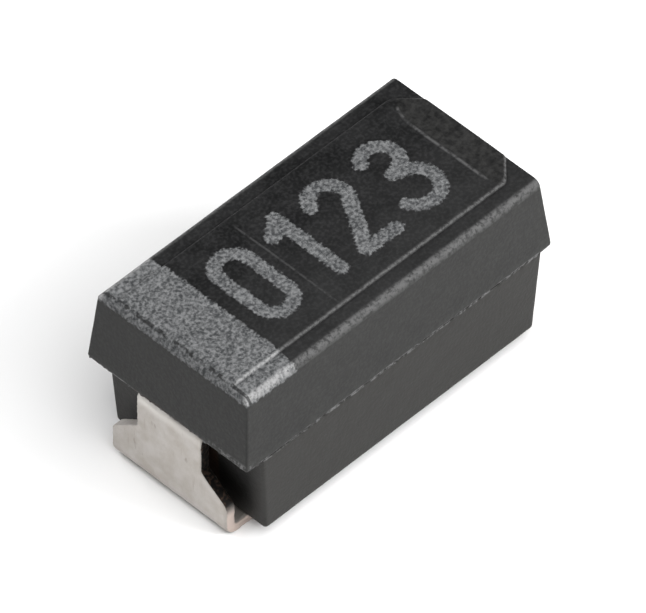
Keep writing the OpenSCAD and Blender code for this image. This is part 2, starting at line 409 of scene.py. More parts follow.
# %% Skin of the case
def lid_numbers(rim_numbers, first_inner):
    """Point numbers of a lid: its rim from the band, the others new, counted from first_inner."""
    rows, columns = grid_x.shape
    numbers = np.empty((rows, columns), int)
    numbers[1:-1, 1:-1] = first_inner + np.arange((rows - 2) * (columns - 2)).reshape(rows - 2, columns - 2)
    cuts = np.cumsum([rows - 1, columns - 1, rows - 1])
    front, right, back, left = np.split(rim_numbers, cuts)
    numbers[:-1, 0], numbers[-1, :-1] = front, right
    numbers[:0:-1, -1], numbers[0, :0:-1] = back, left
    return numbers


top_low, top_high = np.array([lid_anode, -lid_y]), np.array([lid_cathode, lid_y])
top_plan = follow_panel(plan(grid_x, grid_y, top_low, top_high, upper_corner))[1:-1, 1:-1]
top_lid = np.concatenate([top_plan, top_height(top_plan)[..., None]], axis=-1).reshape(-1, 3)
bottom_low, bottom_high = middle_low + bottom_radius, middle_high - bottom_radius
bottom_plan = plan(grid_x, grid_y, bottom_low, bottom_high, lower_corner)[1:-1, 1:-1].reshape(-1, 2)
bottom_lid = np.column_stack([bottom_plan, np.full(len(bottom_plan), underside_z)])

count = len(rim_x)
band = np.arange(rings.shape[0] * count).reshape(rings.shape[0], count)
band = np.column_stack([band, band[:, 0]])
skin_points = np.concatenate([rings.reshape(-1, 3), top_lid, bottom_lid])
top_numbers = lid_numbers(band[-1, :-1], rings.shape[0] * count)
bottom_numbers = lid_numbers(band[0, :-1], rings.shape[0] * count + len(top_lid))
skin_faces = np.concatenate([quads(band)[:, ::-1], quads(top_numbers), quads(bottom_numbers)[:, ::-1]])
print("skin of the case:", len(skin_points), "points")

# %% [markdown]
# ## Laser marking as a distance field
#
# The marking is burnt by a laser that leaves a pale, grainy film. Where it lies is kept as one number on
# each point of the skin: how deep the point is inside the nearest mark, negative outside. A distance
# changes evenly, so a material can cut it anywhere and get a clean or a ragged edge from the same grid.
#
# The figures are plain counting numbers. Each is drawn with a pen of one width along lines and arcs.

# %% Distances from pen strokes
def from_line(place, start, end):
    """Distance from a straight stroke: to the nearest point between its ends."""
    start, end = np.array(start), np.array(end)
    span = end - start
    share = np.clip((place - start) @ span / (span @ span), 0, 1)
    return np.linalg.norm(place - start - share[..., None] * span, axis=-1)


def from_arc(place, centre, radius, first, last):
    """Distance from an arc between two angles in degrees: to its nearest point, ends included."""
    offset = place - np.array(centre)
    middle, half = math.radians((first + last) / 2), math.radians(abs(last - first) / 2)
    angle = np.arctan2(offset[..., 1], offset[..., 0]) - middle
    angle = (angle + math.pi) % (2 * math.pi) - math.pi
    nearest = middle + np.clip(angle, -half, half)
    tip = radius * np.stack([np.cos(nearest), np.sin(nearest)], axis=-1)
    return np.linalg.norm(offset - tip, axis=-1)


def nought(place):
    """Two half circles joined by straight sides."""
    return np.minimum.reduce([
        from_arc(place, (0, 0.2), 0.15, 0, 180), from_arc(place, (0, -0.2), 0.15, 180, 360),
        from_line(place, (-0.15, -0.2), (-0.15, 0.2)), from_line(place, (0.15, -0.2), (0.15, 0.2))])


def one(place):
    """A stem with a flag."""
    return np.minimum.reduce([
        from_line(place, (0.07, -0.35), (0.07, 0.35)), from_line(place, (0.06, 0.33), (-0.08, 0.22)),
        from_line(place, (0.04, 0.25), (-0.06, 0.22))])


def two(place):
    """A bow, a slant and a base."""
    return np.minimum.reduce([
        from_arc(place, (0, 0.19), 0.155, -32, 165), from_line(place, (0.131, 0.108), (-0.15, -0.34)),
        from_line(place, (-0.15, -0.35), (0.16, -0.35))])


def three(place):
    """Two bows, the lower one wider."""
    return np.minimum.reduce([
        from_arc(place, (-0.01, 0.2), 0.15, -80, 150), from_arc(place, (-0.01, -0.165), 0.185, -155, 85),
        from_line(place, (-0.04, 0.04), (0.03, 0.04))])


print(f"the nought's line lies {nought(np.zeros((1, 2)))[0]:.2f} mm from its middle")

# %% The marks on the case
pen = 0.06
band_end_x, band_reach = -1.03, 0.072
figure_places = {nought: -0.69, one: -0.2, two: 0.28, three: 0.84}
x, y, z = skin_points.T
strokes = [figure(skin_points[:, :2] - (place, 0)) for figure, place in figure_places.items()]
figures = np.where(z > strips_z, pen - np.minimum.reduce(strokes), -1)
band_mark = np.minimum(band_end_x - x, z - (strips_z - band_reach))
marks = np.clip(np.maximum(figures, band_mark), -0.3, 0.3)
print(f"marked part of the skin's points: {(marks > 0).mean():.3f}")

# %% [markdown]
# Handling and the mould leave the outward edges a little worn, and where they catch the lamps they are
# painted paler still as a highlight, less along the panel's far +Y edge. A second field says where: along the
# long rounded edges, and along the rim of the panel.

# %% Edges painted paler: highlight and wear
# Painted highlight and wear: the outward edges are painted paler, less on the panel's far +Y edge.
rim = np.exp(-((panel_depth(x, y) - 0.008) / 0.012) ** 2)
rim *= (z > strips_z + 0.004) * np.interp(y, (0.2, 0.5), (1, 0.2))
long_edge = np.exp(-((np.abs(y) - lid_y - 0.052) / 0.026) ** 4)
long_edge *= (z > strips_z - 0.064) * (z < strips_z - 0.001)
rubbed_field = np.maximum(rim, long_edge)
print(f"rubbed part of the skin's points: {(rubbed_field > 0.5).mean():.3f}")

# %% [markdown]
# The finished skin is moved by a swell of about a thousandth of a millimetre, so that its gloss isn't
# dead even. It replaces the plain solid, and rides on the same body.

# %% Case
skin_points[:, 2] -= 0.0008 * (1 + swell(skin_points, 0.35, seed=5)) * (skin_points[:, 2] > strips_z + 0.02)
skin_points[:, 1] -= np.sign(y) * 0.0008 * (1 + swell(skin_points, 0.3, seed=6)) * (np.abs(y) > lid_y)
case_skin = make_piece("case_skin", skin_points, skin_faces, crisp=60, mark=marks, rub=rubbed_field)
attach(case_skin, "root")
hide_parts("case")

# %% [markdown]
# ## The terminal strips
#
# Each terminal is punched from plated sheet and folded: a tab inside the case, a straight neck, a flare
# to the full width of the foot, and the foot that is soldered to the board. A sheet is a section carried
# along a path, so the surface has two parameters: the place along the folded middle line, and the place
# round the section. The width changes with the height on the leg.

# %% The folded middle line
strip_thickness = 0.09
bend = 0.025 + strip_thickness / 2
neck_half, foot_half = 0.34, 0.60
neck_length, flare_length = 0.40, 0.19
shoulder_z = parting_z - neck_length
corner_z = shoulder_z - flare_length


def straight_run(start, end, step=0.016):
    """Evenly spaced places from one end of a straight run to the other, about a step apart."""
    return np.linspace(start, end, max(2, int(np.linalg.norm(end - start) / step)))


def folded_line(corners, radius, arc_steps=14):
    """Places and directions along a path of straight runs joined by arcs of one radius."""
    corners = [np.array(corner, float) for corner in corners]
    places = [corners[0]]
    for before, here, after in zip(corners, corners[1:], corners[2:]):
        come = (here - before) / np.linalg.norm(here - before)
        go = (after - here) / np.linalg.norm(after - here)
        side = np.array([-come[1], come[0]])
        turn = math.atan2(go @ side, go @ come)
        start = here - come * radius * math.tan(abs(turn) / 2)
        centre = start + np.sign(turn) * side * radius
        arm = start - centre
        square_to_arm = np.array([-arm[1], arm[0]])
        angles = np.linspace(0, turn, arc_steps + 1)[1:, None]
        arc = centre + np.cos(angles) * arm + np.sin(angles) * square_to_arm
        places += [*straight_run(places[-1], start)[1:], *arc]
    places = np.array([*places, *straight_run(places[-1], corners[-1])[1:]])
    ways = np.gradient(places, axis=0)
    return places, ways / np.linalg.norm(ways, axis=1, keepdims=True)


print(f"sheet {strip_thickness:.2f} mm thick; bends of {bend:.3f} mm, {2 * foot_half:.2f} mm wide")

# %% [markdown]
# A punched edge isn't square. The punch rolls the first face over a little, then tears through and leaves
# a rough wall and a fine burr. So the section has rounded corners, and the points of its side walls are
# moved by a ripple along the strip.

# %% A strip from its middle line and its width
def strip_section(half, thickness, face_steps=38, wall_steps=8, radius=0.016):
    """Points round a flat section, as shares of its half width and offsets through its thickness."""
    faces = np.linspace(-1, 1, face_steps + 1)[:-1]
    walls = np.linspace(-1, 1, wall_steps + 1)[:-1]
    across = np.concatenate([faces, np.ones(wall_steps), -faces, -np.ones(wall_steps)])
    through = np.concatenate([-np.ones(face_steps), walls, np.ones(face_steps), -walls])
    h = thickness / 2
    return round_plan(across * half, through * h, (-half, -h), (half, h), radius)


def torn_walls(y, through, shares, wall, seed):
    """Places across the strip after its side walls are torn inwards, by a slow and a quick ripple."""
    torn = y
    for side, shift in ((y > 0, 0), (y < 0, 1)):
        slow = ripple(shares, 8, 60, seed + shift)
        quick = ripple(shares + through * 3, 60, 200, seed + shift + 7)
        depth = wall * 0.0035 * (1 + np.clip(slow + 0.5 * quick, -1, 1))
        torn = np.where(side, y - np.sign(y) * depth, torn)
    return torn


def strip_faces(rows, columns):
    """Faces of a closed tube of sections, with a cap of cross strips on each end."""
    numbers = np.arange(rows * columns).reshape(rows, columns)
    faces = [quads(np.column_stack([numbers, numbers[:, 0]]))]
    for row in (numbers[0], numbers[-1][::-1]):
        there_and_back = np.roll(row, 4)
        there = there_and_back[:columns // 2]
        back = there_and_back[::-1][:columns // 2]
        faces.append(quads(np.column_stack([there, back])))
    return np.concatenate(faces)[:, ::-1]


def make_strip(name, middle, ways, half_widths, seed):
    """A sheet of metal along a middle line in X and Z, with rough side walls and closed ends."""
    sections = np.array([strip_section(half, strip_thickness) for half in half_widths])
    y, through = sections[..., 0], sections[..., 1]
    travelled = np.concatenate([[0], np.cumsum(np.linalg.norm(np.diff(middle, axis=0), axis=1))])
    shares = np.broadcast_to((travelled / travelled[-1])[:, None], y.shape)
    along_strip = shares * travelled[-1]
    wall = np.clip((np.abs(y) - half_widths[:, None] + 0.018) / 0.018, 0, 1)
    y = torn_walls(y, through, shares, wall, seed)
    dents = swell(np.stack([along_strip, y, np.zeros_like(y)], axis=-1), 0.3, seed + 3)
    through = through - np.sign(through) * 0.0012 * (1 + dents) * (1 - wall)
    x = middle[:, 0, None] - ways[:, 1, None] * through
    z = middle[:, 1, None] + ways[:, 0, None] * through
    points = np.stack([x, y, z], axis=-1).reshape(-1, 3)
    sheet = np.stack([y, along_strip, wall], axis=-1).reshape(-1, 3)
    piece = make_piece(name, points, strip_faces(*y.shape), crisp=60, sheet=sheet)
    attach(piece, "root")
    return piece


print("points round a section:", len(strip_section(foot_half, strip_thickness)))

# %% [markdown]
# The width along the leg comes from its outline in elevation: the neck, a fillet, the slanted shoulder,
# a rounded corner and the foot's width. The tab inside the case keeps the neck's width.

# %% Width of the leg by height
def rounded_corner(before, here, after, radius, steps=8):
    """Points of an arc that rounds the corner of a line."""
    before, here, after = (np.array(p, float) for p in (before, here, after))
    u = (before - here) / np.linalg.norm(before - here)
    v = (after - here) / np.linalg.norm(after - here)
    half = math.acos(u @ v) / 2
    centre = here + (u + v) / np.linalg.norm(u + v) * radius / math.sin(half)
    start, end = here + u * radius / math.tan(half), here + v * radius / math.tan(half)
    shares = np.linspace(0, 1, steps)[:, None]
    chord = start + (end - start) * shares - centre
    return centre + chord * radius / np.linalg.norm(chord, axis=1, keepdims=True)


neck_top, neck_foot = (neck_half, parting_z), (neck_half, shoulder_z)
flare_foot, leg_foot = (foot_half, corner_z), (foot_half, 0)
leg_outline = np.vstack([leg_foot, rounded_corner(leg_foot, flare_foot, neck_foot, 0.08),
                         rounded_corner(flare_foot, neck_foot, neck_top, 0.06), neck_top])


def half_width_at(height):
    """Half the strip's width at a height on the leg."""
    return np.interp(height, leg_outline[:, 1], leg_outline[:, 0])


print(f"half width of the leg at its corner's height: {half_width_at(corner_z):.3f} mm")

# %% The two terminals
middle = strip_thickness / 2
tab_z, foot_z = parting_z - middle, middle
foot_length = anode_high[0] - anode_low[0]
tab_end = -0.95
anode_leg = anode_low[0] + middle
anode_line, anode_ways = folded_line(
    [(tab_end, tab_z), (anode_leg, tab_z), (anode_leg, foot_z), (anode_high[0], foot_z)], bend)
level_half = np.where(anode_line[:, 1] > shoulder_z, neck_half, foot_half)
on_level = anode_line[:, 0] > anode_leg + bend
anode_half = np.where(on_level, level_half, half_width_at(anode_line[:, 1]))
anode_strip = make_strip("anode_strip", anode_line, anode_ways, anode_half, seed=11)
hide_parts("anode_terminal")

cradle_drop = 0.40
cradle_z = parting_z - cradle_drop - middle
step_foot, step_top = (1.04, cradle_z), (1.29, tab_z)
cathode_leg = cathode_high[0] - middle
cathode_line, cathode_ways = folded_line(
    [(cathode_low[0], cradle_z), step_foot, step_top, (cathode_leg, tab_z),
     (cathode_leg, foot_z), (cathode_high[0] - foot_length, foot_z)], bend)
outside = np.arange(len(cathode_line)) > np.argmax(cathode_line[:, 0] > cathode_leg - bend)
cathode_half = np.where(outside, half_width_at(cathode_line[:, 1]), neck_half)
cathode_strip = make_strip("cathode_strip", cathode_line, cathode_ways, cathode_half, seed=31)
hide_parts("cathode_terminal")

# %% [markdown]
# ## Small tools for materials
#
# A finish is a tree of nodes. A few helpers keep the trees short: one adds a node and fills or joins its
# inputs, three do arithmetic, one turns a value into a soft mask between two limits, and one blends
# colours.

# %% Node helpers
def put(tree, socket, value):
    """Joins an input to another node's output, or sets it to a plain value."""
    if isinstance(value, bpy.types.NodeSocket):
        tree.links.new(value, socket)
    else:
        socket.default_value = value


def add(tree, kind, inputs=None, **settings):
    """Adds a node with its settings and inputs, and gives the node back."""
    made = tree.nodes.new("ShaderNode" + kind)
    for name, value in settings.items():
        setattr(made, name, value)
    for name, value in (inputs or {}).items():
        put(tree, made.inputs[name], value)
    return made


def calc(tree, operation, *values, clamp=False):
    """The result of a Math node."""
    made = add(tree, "Math", operation=operation, use_clamp=clamp)
    for socket, value in zip(made.inputs, values):
        put(tree, socket, value)
    return made.outputs[0]


def product(tree, *values):
    """Several values multiplied together."""
    result = values[0]
    for value in values[1:]:
        result = calc(tree, "MULTIPLY", result, value)
    return result


def away(tree, value, middle):
    """How far a value is from a middle one, on whichever side it lies."""
    return calc(tree, "ABSOLUTE", calc(tree, "SUBTRACT", value, middle))


def mask(tree, value, low, high, at_low=0.0, at_high=1.0):
    """A smooth change from at_low to at_high while the value goes from low to high."""
    made = add(tree, "MapRange", {"Value": value, "From Min": low, "From Max": high, "To Min": at_low,
                                  "To Max": at_high}, interpolation_type="SMOOTHSTEP")
    return made.outputs["Result"]


def blend(tree, share, one_colour, other_colour):
    """A colour between two others."""
    made = add(tree, "Mix", data_type="RGBA")
    for number, value in ((0, share), (6, one_colour), (7, other_colour)):
        put(tree, made.inputs[number], value)
    return made.outputs[2]


def grey(level):
    """An opaque grey of one brightness."""
    return (level, level, level, 1.0)


def speckle(tree, place, size, detail=2.0, roughness=0.55):
    """Noise with features of about the given size in millimetres."""
    return add(tree, "TexNoise", {"Vector": place, "Scale": 1 / size, "Detail": detail,
                                  "Roughness": roughness}).outputs[0]


# %% [markdown]
# ## Effects that several finishes share
#
# Three effects are built once as node groups. *Millimetres* gives the place on the object in millimetres.
# *Grain* is a fine and a coarse unevenness of the surface. *Film* is the pale, speckled film that a laser
# leaves where a field is above zero, with a ragged edge.

# %% Node groups
def new_group(name, inputs, outputs):
    """An empty node group with named inputs and outputs, and its two end nodes."""
    group = bpy.data.node_groups.new(name, "ShaderNodeTree")
    for socket, kind in inputs:
        group.interface.new_socket(socket, in_out="INPUT", socket_type="NodeSocket" + kind)
    for socket, kind in outputs:
        group.interface.new_socket(socket, in_out="OUTPUT", socket_type="NodeSocket" + kind)
    return group, group.nodes.new("NodeGroupInput").outputs, group.nodes.new("NodeGroupOutput").inputs


millimetres, _, given = new_group("Millimetres", [], [("Place", "Vector")])
metres = add(millimetres, "TexCoord").outputs["Object"]
scaled = add(millimetres, "VectorMath", {"Vector": metres, "Scale": 1 / MM}, operation="SCALE")
put(millimetres, given["Place"], scaled.outputs[0])

grain, wanted, given = new_group("Grain", [("Place", "Vector"), ("Size", "Float")],
                                 [("Fine", "Float"), ("Coarse", "Float")])
fine_scale = calc(grain, "DIVIDE", 1.0, wanted["Size"])
fine = add(grain, "TexNoise", {"Vector": wanted["Place"], "Scale": fine_scale, "Detail": 3.0})
coarse_scale = calc(grain, "DIVIDE", fine_scale, 7.0)
coarse = add(grain, "TexNoise", {"Vector": wanted["Place"], "Scale": coarse_scale, "Detail": 4.0})
put(grain, given["Fine"], fine.outputs[0])
put(grain, given["Coarse"], coarse.outputs[0])

film, wanted, given = new_group("Film", [("Place", "Vector"), ("Field", "Float"), ("Size", "Float")],
                                [("Mask", "Float"), ("Tone", "Float")])
film_scale = calc(film, "DIVIDE", 1.0, wanted["Size"])
rough_edge = add(film, "TexNoise", {"Vector": wanted["Place"], "Scale": film_scale, "Detail": 2.0})
unevenness = calc(film, "SUBTRACT", rough_edge.outputs[0], 0.5)
moved = calc(film, "MULTIPLY_ADD", unevenness, 0.05, wanted["Field"])
grains = add(film, "TexNoise", {"Vector": wanted["Place"], "Scale": film_scale, "Detail": 3.0,
                                "Roughness": 0.6, "Distortion": 0.2})
broad = add(film, "TexNoise", {"Vector": wanted["Place"], "Scale": calc(film, "DIVIDE", film_scale, 5.0),
                               "Detail": 3.0, "Distortion": 1.5})
patches = product(film, calc(film, "SUBTRACT", broad.outputs[0], 0.5), 1.1)
tone = calc(film, "ADD", mask(film, grains.outputs[0], 0.31, 0.71), patches, clamp=True)
put(film, given["Mask"], mask(film, moved, -0.01, 0.014))
put(film, given["Tone"], tone)
print("node groups:", ", ".join(group.name for group in bpy.data.node_groups))

# %% [markdown]
# A finish is one material with one Principled shader. Its even values are set on the shader's own sockets,
# and its fine relief tilts the normals by a bump of a stated height.

# %% Finish helpers
def use(tree, group, **inputs):
    """Places a node group in a material with its own values and gives back its outputs."""
    made = tree.nodes.new("ShaderNodeGroup")
    made.node_tree = group
    for name, value in inputs.items():
        put(tree, made.inputs[name], value)
    return made.outputs


def new_finish(name, **constants):
    """A material with one Principled shader whose even values are set on its own sockets."""
    finish = bpy.data.materials.new(name)
    finish.use_nodes = True
    shader = finish.node_tree.nodes["Principled BSDF"]
    for socket, value in constants.items():
        shader.inputs[socket.replace("_", " ")].default_value = value
    return finish, finish.node_tree, shader


def bump(tree, shader, height, distance):
    """Tilts the shader's normals by a height of 0 to 1 that stands for a distance in millimetres."""
    made = add(tree, "Bump", {"Height": height, "Distance": distance * MM, "Strength": 1.0})
    put(tree, shader.inputs["Normal"], made.outputs["Normal"])


# %% [markdown]
# ## Black moulding epoxy
#
# The compound is mostly fine silica in black resin, so it is dark but never pure black, dull, and grainy
# when seen close. The top is painted darker than the sides as shade, and the lower half is a little warmer.
# A picture could carry this, but it would blur close up and stretch on the walls. So every colour comes
# from the place on the part. Beside the anode leg the end wall is painted nearly black as shade in the gap.

# %% Epoxy: ground colours
epoxy, tree, shader = new_finish("moulding_epoxy", Specular_IOR_Level=0.18)
place = use(tree, millimetres)["Place"]
x, y, z = add(tree, "SeparateXYZ", {"Vector": place}).outputs
texture = use(tree, grain, Place=place, Size=0.028)
on_top = mask(tree, z, strips_z - 0.05, strips_z - 0.01)

fine_part = mask(tree, texture["Fine"], 0.4, 0.68)
coarse_part = mask(tree, texture["Coarse"], 0.35, 0.65, 0.0, 0.4)
mottle = calc(tree, "MULTIPLY_ADD", fine_part, 0.6, coarse_part)
upper_colour = blend(tree, mottle, (0.021, 0.021, 0.0205, 1), (0.031, 0.031, 0.030, 1))
lower_colour = blend(tree, 0.5, upper_colour, (0.0285, 0.027, 0.0245, 1))
on_upper = mask(tree, z, parting_z - 0.01, parting_z + 0.01)
side_colour = blend(tree, on_upper, lower_colour, upper_colour)
# Painted shade: the lower end wall beside the anode leg goes nearly black, in the gap behind the leg.
beside_leg = product(tree, mask(tree, x, -1.4, -1.38, 1.0, 0.0), mask(tree, y, -0.81, -0.62),
                     mask(tree, y, -0.2, 0.0, 1.0, 0.0))
gap_shade = product(tree, beside_leg, mask(tree, z, parting_z - 0.02, parting_z - 0.004, 0.93, 0.0))
side_colour = blend(tree, gap_shade, side_colour, (0.0025, 0.0023, 0.0021, 1))

# Painted shade: the top gets a much darker colour than the sides.
shaded_top_colour = blend(tree, mottle, (0.0012, 0.0014, 0.0016, 1), (0.018, 0.018, 0.0185, 1))
# Painted sheen: the top is paler towards the -Y long side, which faces the lamps.
drift = product(tree, calc(tree, "SUBTRACT", texture["Coarse"], 0.5), 0.5)
painted_sheen = mask(tree, calc(tree, "ADD", y, drift), -0.7, 0.4, 0.3, 0.0)
shaded_top_colour = blend(tree, painted_sheen, shaded_top_colour, grey(0.035))
colour = blend(tree, on_top, side_colour, shaded_top_colour)
print("nodes of the epoxy's ground:", len(tree.nodes))

# %% [markdown]
# Two hair-thin lines cross the panel: a straight one, and one near the cathode end, curved at its far end,
# where the mould's insert stops. They are too fine for the mesh, so each is a narrow band of distance from
# its path, broken up by noise. Beyond the second line the surface is cloudy.

# %% Epoxy: lines of the mould
hair_x, insert_x = -0.39, 1.25
wander = product(tree, calc(tree, "SUBTRACT", speckle(tree, place, 0.6), 0.5), 0.014)
hair_gap = away(tree, calc(tree, "ADD", x, wander), hair_x)
hair_reach = mask(tree, away(tree, y, -0.03), 0.5, 0.56, 1.0, 0.0)
hair = product(tree, mask(tree, hair_gap, 0.004, 0.012, 1.0, 0.0), hair_reach)

past_bend = calc(tree, "MAXIMUM", calc(tree, "SUBTRACT", y, 0.3), 0.0)
curl = product(tree, calc(tree, "POWER", past_bend, 2.0), 1.5)
straight_place = calc(tree, "ADD", calc(tree, "SUBTRACT", x, insert_x), wander)
seam_place = calc(tree, "SUBTRACT", straight_place, curl)
insert_gap = calc(tree, "ABSOLUTE", seam_place)
insert_reach = mask(tree, calc(tree, "ABSOLUTE", y), 0.47, 0.51, 1.0, 0.0)
insert_line = product(tree, mask(tree, insert_gap, 0.002, 0.02, 1.0, 0.0), insert_reach)

broken = mask(tree, speckle(tree, place, 0.05), 0.35, 0.6, 0.2, 1.0)
lines = product(tree, calc(tree, "MAXIMUM", product(tree, hair, 0.4), insert_line), broken, on_top)
clouds = mask(tree, speckle(tree, place, 0.06, 5.0, 0.7), 0.33, 0.67)
cloudy = blend(tree, clouds, (0.004, 0.004, 0.004, 1), (0.030, 0.0295, 0.0285, 1))
on_panel = mask(tree, z, strips_z + 0.004, strips_z + 0.01)
beyond = product(tree, mask(tree, seam_place, 0.0, 0.03), on_top, on_panel)
colour = blend(tree, product(tree, beyond, 0.7), colour, cloudy)
colour = blend(tree, product(tree, lines, 0.7), colour, grey(0.1))
print("nodes with the lines:", len(tree.nodes))

# %% [markdown]
# Wear, painted highlight and marks lie on top of the ground. The edges are painted paler, partly as wear
# and partly as painted highlight, where a field on the skin says, and the pale laser film lies where its
# *mark* field is positive. The film on those edges is painted paler still as highlight, and a row of dark
# dashes crosses it above the anode end's rounding.

# %% Epoxy: painted edge highlight and wear, and laser film
dash_x = -1.5
# Painted highlight and wear: the edges are painted paler, broken up by speckle.
rub = add(tree, "Attribute", attribute_name="rub").outputs["Fac"]
worn_spots = mask(tree, speckle(tree, place, 0.03, 3.0, 0.65), 0.32, 0.6, 0.15, 1.0)
rubbed = product(tree, rub, worn_spots)
colour = blend(tree, product(tree, rubbed, 0.95), colour, grey(0.095))

field = add(tree, "Attribute", attribute_name="mark").outputs["Fac"]
laser = use(tree, film, Place=place, Field=field, Size=0.028)
laser_colour = blend(tree, laser["Tone"], (0.040, 0.042, 0.044, 1), (0.178, 0.181, 0.184, 1))
# Painted highlight: the film is paler where it lies on those edges.
laser_colour = blend(tree, product(tree, rubbed, 0.8), laser_colour, grey(0.36))
dash_spots = mask(tree, speckle(tree, place, 0.045, 1.0), 0.42, 0.55)
dashes = product(tree, mask(tree, away(tree, x, dash_x), 0.008, 0.018, 1.0, 0.0), dash_spots)
laser_colour = blend(tree, product(tree, dashes, 0.8), laser_colour, grey(0.012))
colour = blend(tree, laser["Mask"], colour, laser_colour)
print("nodes with the film:", len(tree.nodes))

# %% [markdown]
# At the parting line resin dust leaves pale flecks, more of them on the overhang beside the anode leg.
# Just above each neck the overhang is stained brown.

# %% Epoxy: parting line
stain_z = calc(tree, "ADD", z, product(tree, texture["Coarse"], 0.07))
over_neck = product(tree, mask(tree, calc(tree, "ABSOLUTE", y), neck_half - 0.01, neck_half + 0.02, 1.0, 0.0),
                    mask(tree, stain_z, parting_z + 0.03, parting_z + 0.065, 1.0, 0.0))
colour = blend(tree, product(tree, over_neck, 0.8), colour, (0.022, 0.011, 0.007, 1))

near_seam = mask(tree, away(tree, z, parting_z), 0.008, 0.024, 1.0, 0.0)
chipped = product(tree, mask(tree, y, -0.5, -0.35, 1.0, 0.0), mask(tree, x, -1.5, -1.48, 1.0, 0.0),
                  mask(tree, z, parting_z + 0.03, parting_z + 0.07, 1.0, 0.0),
                  mask(tree, z, parting_z - 0.002, parting_z))
flecks = mask(tree, speckle(tree, place, 0.05, 3.0, 0.7), 0.44, 0.62)
pale_flecks = product(tree, calc(tree, "MAXIMUM", near_seam, chipped), flecks, 0.75)
colour = blend(tree, pale_flecks, colour, grey(0.17))
put(tree, shader.inputs["Base Color"], colour)
print("nodes with the parting line:", len(tree.nodes))

# %% [markdown]
# The film is duller than the resin and stands a little proud of it, and so do the thin lines. The bump is
# a few thousandths of a millimetre, which the mesh couldn't carry over the whole skin.

# %% Epoxy: roughness and relief
roughness = calc(tree, "MULTIPLY_ADD", texture["Coarse"], 0.16, 0.47)
roughness = calc(tree, "MAXIMUM", roughness, product(tree, laser["Mask"], 0.8))
put(tree, shader.inputs["Roughness"], roughness)
relief = calc(tree, "MULTIPLY_ADD", texture["Fine"], 0.6, product(tree, texture["Coarse"], 0.8))
relief = calc(tree, "ADD", relief, product(tree, laser["Mask"], laser["Tone"], 0.9))
relief = calc(tree, "ADD", relief, product(tree, lines, 1.2))
bump(tree, shader, relief, 0.004)
case_skin.data.materials.append(epoxy)
print("nodes of the whole epoxy:", len(tree.nodes))

# %% [markdown]
# ## Tinned strip
#
# Matte tin over a copper alloy: a warm light grey that scatters light broadly, with faint rolling marks
# along the strip, some dull spots, and the alloy showing brown where the punch tore through the sheet.
# The *sheet* field gives each point's place across and along the strip, and how near the edge wall it is.

# %% Tin: rolled surface
tin, tree, shader = new_finish("matte_tin", Metallic=0.75, Specular_IOR_Level=0.5)
place = use(tree, millimetres)["Place"]
_, y, z = add(tree, "SeparateXYZ", {"Vector": place}).outputs
sheet = add(tree, "Attribute", attribute_name="sheet").outputs["Vector"]
wall = add(tree, "SeparateXYZ", {"Vector": sheet}).outputs["Z"]
texture = use(tree, grain, Place=place, Size=0.03)
stretched = add(tree, "Mapping", {"Vector": sheet, "Scale": (1.0, 0.12, 1.0)}).outputs[0]
rolled = speckle(tree, stretched, 0.03, 3.0)
blotch = speckle(tree, place, 0.16, 4.0, 0.6)
colour = blend(tree, mask(tree, blotch, 0.3, 0.7), (0.42, 0.385, 0.35, 1), (0.53, 0.505, 0.48, 1))
colour = blend(tree, mask(tree, rolled, 0.62, 0.72, 0.0, 0.35), colour, (0.36, 0.32, 0.28, 1))
smeared = add(tree, "Mapping", {"Vector": sheet, "Scale": (1.0, 0.45, 1.0)}).outputs[0]
stain = mask(tree, speckle(tree, smeared, 0.11, 3.0), 0.62, 0.72, 0.0, 0.6)
colour = blend(tree, stain, colour, (0.25, 0.22, 0.19, 1))
print("nodes of the rolled surface:", len(tree.nodes))

# %% [markdown]
# The strip is painted brighter where it bends into the case, as a painted highlight. Its side walls are dark
# and brown where they tore, on the near half of the leg most of all, and pink where they were cut clean,
# down at the foot. At the top of the neck a film of resin has crept over the tin.

# %% Tin: painted bend highlight, side walls and resin
# Painted highlight: the tin is lightened at the bend at the top of the neck.
painted_bend_highlight = product(tree, mask(tree, z, parting_z - 0.17, parting_z - 0.09),
                     mask(tree, y, -0.3, 0.3, 0.4, 0.8))
colour = blend(tree, painted_bend_highlight, colour, (0.68, 0.66, 0.63, 1))
on_leg = mask(tree, z, 0.22, 0.34)
clean_cut = product(tree, mask(tree, wall, 0.6, 1.0, 0.0, 0.7), calc(tree, "SUBTRACT", 1.0, on_leg))
colour = blend(tree, clean_cut, colour, (0.58, 0.47, 0.42, 1))

ragged_wall = calc(tree, "ADD", wall, product(tree, texture["Fine"], 0.5))
torn_amount = product(tree, mask(tree, ragged_wall, 0.75, 1.05), on_leg, mask(tree, y, 0.3, 0.36, 1.0, 0.25))
torn_colour = blend(tree, mask(tree, texture["Fine"], 0.45, 0.7), (0.003, 0.002, 0.0015, 1),
                    (0.05, 0.031, 0.022, 1))
colour = blend(tree, torn_amount, colour, torn_colour)

resin_z = calc(tree, "ADD", z, product(tree, texture["Coarse"], 0.06))
resin = mask(tree, resin_z, parting_z - 0.03, parting_z, 0.0, 0.85)
colour = blend(tree, resin, colour, (0.05, 0.03, 0.02, 1))
put(tree, shader.inputs["Base Color"], colour)
put(tree, shader.inputs["Roughness"], mask(tree, blotch, 0.3, 0.7, 0.5, 0.62))
relief = calc(tree, "ADD", product(tree, texture["Fine"], 0.5), calc(tree, "ADD", rolled, blotch))
bump(tree, shader, relief, 0.005)
for strip in (anode_strip, cathode_strip):
    strip.data.materials.append(tin)
print("nodes of the whole tin:", len(tree.nodes))

# %% [markdown]
# ## Finishes of the inner pieces
#
# These solids keep their shapes. Each gets the finish of the real material: porous sintered tantalum, the
# black crust of manganese dioxide, smooth graphite, flaked silver paint, a dull silver-filled adhesive, a
# drawn wire and a waxy fluoropolymer washer. One recipe makes them all: a colour between two, an uneven
# roughness and a fine relief, each driven by grain of its own size.

